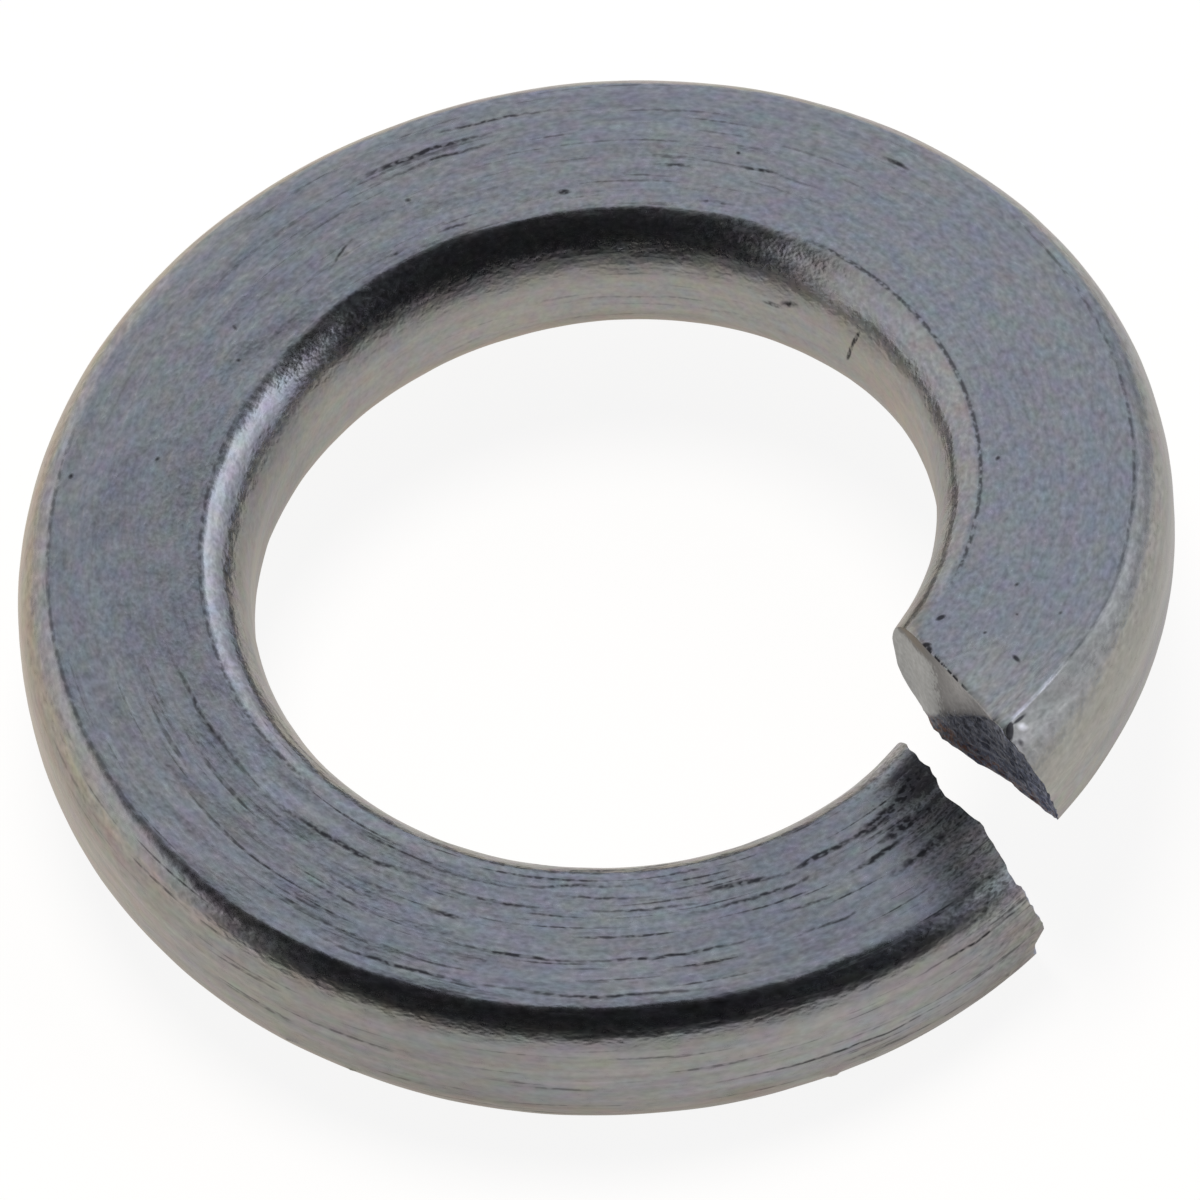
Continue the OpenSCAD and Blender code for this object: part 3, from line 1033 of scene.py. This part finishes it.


# Tone of the metal: a factor about 1 from the grain, with the lighter and darker stretches, the
# film beside the low cut and the darker rounding
def metalTone(tree, p, at, grain, grit, film, crowd):
    f = p["film"]
    streaky = calc(tree, "MULTIPLY_ADD", crowd, p["streakCrowd"], p["streakLeast"])
    fade = smoothStep(tree, at["raisedGap"], p["streakFade"], p["streakAtCut"])
    speckled = smoothStep(tree, at["height"], p["wallSpan"], p["speckleWalls"], p["speckle"])
    gritty = smoothStep(tree, at["height"], f["gritSpan"], f["gritWalls"], f["grit"])
    tone = aboutOne(tree, (grain["Speckle"], times(tree, speckled, calc(tree, "ADD", film, 1.0))),
                    (grain["Cloud"], p["cloud"]), (grain["Streak"], times(tree, streaky, fade, p["streak"])),
                    (grit, times(tree, film, gritty)))
    sides = {name: zoneShare(tree, at, *zone) for name, zone in p["sides"].items()}
    soft = p["stretchSoft"]
    for side, begin, finish, factor in p["stretches"]:
        share = times(tree, sides[side], zoneShare(tree, at, ("along", begin - soft, begin + soft),
                                                   ("along", finish + soft, finish - soft)))
        tone = times(tree, tone, calc(tree, "MULTIPLY_ADD", share, factor - 1, 1.0))
    worn = times(tree, smoothStep(tree, at["lowGap"], f["wornSpan"], 1.0, f["wornLeast"]),
                 smoothStep(tree, at["across"], f["cornerSpan"], f["cornerLight"]))
    filmed = times(tree, film, worn, smoothStep(tree, at["height"], f["wallSpan"], f["walls"], f["top"]))
    dull = times(tree, zoneShare(tree, at, *p["dull"]["zone"]), p["dull"]["share"])
    return times(tree, tone, calc(tree, "SUBTRACT", 1, filmed), calc(tree, "SUBTRACT", 1, dull))


# Raised end's outer corner: its colour and tone, with painted reflected light that makes it paler, a painted
# highlight along its bend and painted shade beside it, and the share of its paler zone
def dressCorner(tree, p, m, at, topFace, zinc, tone):
    c, colours = p["corner"], p["colours"]
    # Painted reflected light: the corner's colour turns paler, and its tone brighter towards the cut
    matt = zoneShare(tree, at, *c["paleCornerZone"])
    zinc = blendColour(tree, matt, zinc, colours["paleCornerLight"])
    pale = smoothStep(tree, calc(tree, "SUBTRACT", matt, at["raisedGap"]), c["paleSpan"], 1.0, c["pale"])
    # Painted highlight: a bright stroke along the bend, and a glint beside the pits
    aside = calc(tree, "ABSOLUTE", calc(tree, "SUBTRACT", at["across"], c["strokeAcross"]))
    stroke = times(tree, smoothStep(tree, aside, c["strokeSpan"]), topFace,
                   zoneShare(tree, at, *c["strokeZone"]))
    glint = addLenses(tree, at["place"], [pitLens(m, *m["glint"])], m["edge"])
    stroke = calc(tree, "MAXIMUM", stroke, glint, clamp=True)
    zinc = blendColour(tree, stroke, zinc, colours["paintedHighlight"])
    # Painted shade: a darker band beside the stroke, deeper near the cut
    band = calc(tree, "MULTIPLY", zoneShare(tree, at, *c["bandZone"]),
                calc(tree, "SUBTRACT", topFace, stroke), clamp=True)
    shade = 0.0
    for depth, span in c["shades"]:
        shade = calc(tree, "ADD", shade, smoothStep(tree, at["raisedGap"], span, 0, depth))
    shade = times(tree, shade, band, smoothStep(tree, at["raisedGap"], c["cutSpan"], c["shadeAtCut"]))
    return zinc, times(tree, tone, pale, calc(tree, "SUBTRACT", 1, shade)), matt


# Roughness of the metal, raised by the marks, the film and the rougher zones, and set at the shoulder
def metalRoughness(tree, p, at, grain, dark, film, shoulder):
    rough = calc(tree, "MULTIPLY_ADD", grain["Speckle"], p["roughSpeckle"], p["roughness"])
    rough = calc(tree, "MULTIPLY_ADD", dark, p["roughMarks"], rough)
    rough = calc(tree, "MULTIPLY_ADD", film, p["film"]["matt"], rough)
    for amount, zone in p["roughZones"]:
        rough = calc(tree, "MULTIPLY_ADD", zoneShare(tree, at, *zone), amount, rough)
    left = calc(tree, "SUBTRACT", p["shoulder"]["roughness"], rough)
    return calc(tree, "MULTIPLY_ADD", shoulder, left, rough)


def metalRelief(tree, p, at, grain):
    speckle = p["reliefSpeckle"]
    relief = calc(tree, "MULTIPLY_ADD", grain["Speckle"], speckle, -speckle / 2)
    offFlat = smoothStep(tree, at["height"], p["flatSpan"], 1.0, p["reliefOffFlat"])
    return calc(tree, "MULTIPLY_ADD", grain["Streak"], p["reliefStreak"], times(tree, relief, offFlat))


def platedMaterial(p, m, grainGroup, markGroup):
    material, tree, shader, at = startMaterial("platedWire")
    at["raisedGap"] = readAttribute(tree, "fromRaisedCut")
    at["lowGap"] = readAttribute(tree, "fromLowCut")
    grain = useGroup(tree, grainGroup, Place=at["place"])
    marked = useGroup(tree, markGroup, Place=at["place"])
    colours, cloud = p["colours"], grain["Cloud"]
    topFace = zoneShare(tree, at, *p["topZone"])
    hairs, crowd, broken = drawHairlines(tree, p["hairlines"], at, grain)
    swayedGap = calc(tree, "MULTIPLY_ADD", cloud, p["film"]["cloudSway"], at["lowGap"])
    film = smoothStep(tree, swayedGap, p["film"]["reach"])
    grit = wireNoise(tree, at["place"], *p["film"]["gritNoise"])
    soot = times(tree, scatterSoot(tree, p["sootCrumbs"], at, grain, grit, film), topFace)
    dark = darkMarks(tree, p, m, at, grain, marked, hairs, broken, soot)
    swayedGap = calc(tree, "MULTIPLY_ADD", cloud, p["shoulder"]["cloudSway"], at["raisedGap"])
    shoulder = times(tree, smoothStep(tree, swayedGap, p["shoulder"]["span"]),
                     zoneShare(tree, at, *p["outerHalf"]))

    zinc = metalColour(tree, p, at, cloud, shoulder)
    tone = metalTone(tree, p, at, grain, grit, film, crowd)
    # The raised end's corner gets painted reflected light, a painted highlight and painted shade; matt is the
    # share of its painted paler zone, not a rougher finish
    zinc, tone, matt = dressCorner(tree, p, m, at, topFace, zinc, tone)
    patches = vectorCalc(tree, "MULTIPLY_ADD", grain["Tint"], [p["tint"]] * 3, [1 - p["tint"] / 2] * 3)
    tinted = blendColour(tree, times(tree, matt, p["corner"]["tintCover"]), patches, (1, 1, 1))
    zinc = blendColour(tree, 1.0, scaleColour(tree, zinc, tone), tinted, "MULTIPLY")
    tree.links.new(blendColour(tree, times(tree, dark, colours["sootCover"]), zinc, colours["soot"]),
                   shader.inputs["Base Color"])
    rough = metalRoughness(tree, p, at, grain, dark, film, shoulder)
    tree.links.new(rough, shader.inputs["Roughness"])
    dirt = times(tree, zoneShare(tree, at, *p["dirt"]["zone"]), topFace, p["dirt"]["share"])
    tree.links.new(calc(tree, "SUBTRACT", 1, dirt), shader.inputs["Metallic"])
    addBump(tree, shader, metalRelief(tree, p, at, grain), p["bump"])
    return material


# Finish of the sheared faces: metal that the shear slid over, and darker torn metal
sheared = {
    "slid": (0.39, 0.407, 0.415),
    "slidDull": (0.22, 0.221, 0.226),  # along the top edge and past the middle of the wire
    "torn": (0.26, 0.285, 0.36),
    "rust": (0.26, 0.135, 0.09),
    "brown": (0.165, 0.143, 0.115),  # in the inner corner
    "crumbNoise": ((8, 12, 5.5), 3.0, 0.6),
    "endSpan": (20, 21),  # between these places along the wire is neither end
    "crumbSway": 0.5,  # how far the crumbs shift the border of the torn part
    "tornSpan": (0.04, 0.36),
    "brightSpan": (-0.78, -1.02), "brightSway": 0.9,  # the slid metal is bright at the bore's side
    "stripSpan": (1.2, 1.02), "stripSway": 0.5,  # below a dull strip along the edge that the shear met
    "dullSpan": (-1.05, 0.15), "dullTones": (0.74, 2.2),
    "brownAcross": (-0.9, -1.4), "brownRise": (1.1, 1.35),
    "tipSpan": (0.9, 1.7), "tipTone": 1.5,  # the torn metal is paler at the tip
    "footSpan": (-0.7, -1.2), "footTone": 0.6,  # and darker at the bore's side
    "grain": 0.9, "tornGrain": 1.9,
    "speckle": 0.5, "cloud": 0.6,
    "rustSpan": (-0.85, -1.25), "rustSway": 1.4, "rustSpecks": (0.44, 0.58), "rustCover": 0.85,
    "rustMetal": 0.5,
    "roughness": 0.36, "roughCrumbs": 0.2,
    "bump": 0.00002,
}


# Value moved by the crumbs' distance from a half times a sway
def swayBy(tree, crumbs, sway, value):
    return calc(tree, "MULTIPLY_ADD", calc(tree, "SUBTRACT", crumbs, 0.5), sway, value)


def shearedMaterial(s, c, grainGroup):
    material, tree, shader, at = startMaterial("shearedFace")
    grain = useGroup(tree, grainGroup, Place=at["place"])
    crumbs = wireNoise(tree, at["place"], *s["crumbNoise"])
    across = at["across"]

    # The torn part lies past the slanting border, on the side where the shear came out
    rise = times(tree, at["height"], smoothStep(tree, at["along"], s["endSpan"], 1.0, -1.0))
    border = times(tree, calc(tree, "SUBTRACT", across, c["tearRadius"] - midR), c["tearSlope"])
    beyond = calc(tree, "MULTIPLY_ADD", crumbs, s["crumbSway"], calc(tree, "SUBTRACT", border, rise))
    torn = smoothStep(tree, beyond, s["tornSpan"])
    bright = times(tree, smoothStep(tree, swayBy(tree, crumbs, s["brightSway"], across), s["brightSpan"]),
                   smoothStep(tree, swayBy(tree, crumbs, s["stripSway"], rise), s["stripSpan"]))
    dull = scaleColour(tree, s["slidDull"], smoothStep(tree, across, s["dullSpan"], *s["dullTones"]))
    corner = times(tree, smoothStep(tree, across, s["brownAcross"]), smoothStep(tree, rise, s["brownRise"]))
    slid = blendColour(tree, bright, blendColour(tree, corner, dull, s["brown"]), s["slid"])
    tearing = times(tree, smoothStep(tree, across, s["tipSpan"], 1.0, s["tipTone"]),
                    smoothStep(tree, across, s["footSpan"], 1.0, s["footTone"]))
    metal = blendColour(tree, torn, slid, scaleColour(tree, s["torn"], tearing))
    tone = aboutOne(tree, (crumbs, calc(tree, "MULTIPLY_ADD", torn, s["tornGrain"], s["grain"])),
                    (grain["Speckle"], s["speckle"]), (grain["Cloud"], s["cloud"]))
    metal = scaleColour(tree, metal, tone)

    # Rust in flecks along the edge where the shear came out
    flecks = times(tree, smoothStep(tree, swayBy(tree, crumbs, s["rustSway"], rise), s["rustSpan"]), torn,
                   smoothStep(tree, grain["Speckle"], s["rustSpecks"]))
    tree.links.new(blendColour(tree, times(tree, flecks, s["rustCover"]), metal, s["rust"]),
                   shader.inputs["Base Color"])
    tree.links.new(smoothStep(tree, flecks, (0, 1), 1.0, s["rustMetal"]), shader.inputs["Metallic"])
    tree.links.new(calc(tree, "MULTIPLY_ADD", crumbs, s["roughCrumbs"], s["roughness"]),
                   shader.inputs["Roughness"])
    addBump(tree, shader, times(tree, crumbs, torn), s["bump"])
    return material


grainNodes = drawnGrainGroup(drawnGrain)
wire.data.materials.append(platedMaterial(plating, marks, grainNodes, marksGroup(marks)))
wire.data.materials.append(shearedMaterial(sheared, cutFace, grainNodes))
print("materials made")

bpy.context.scene.view_settings.view_transform = "Standard"
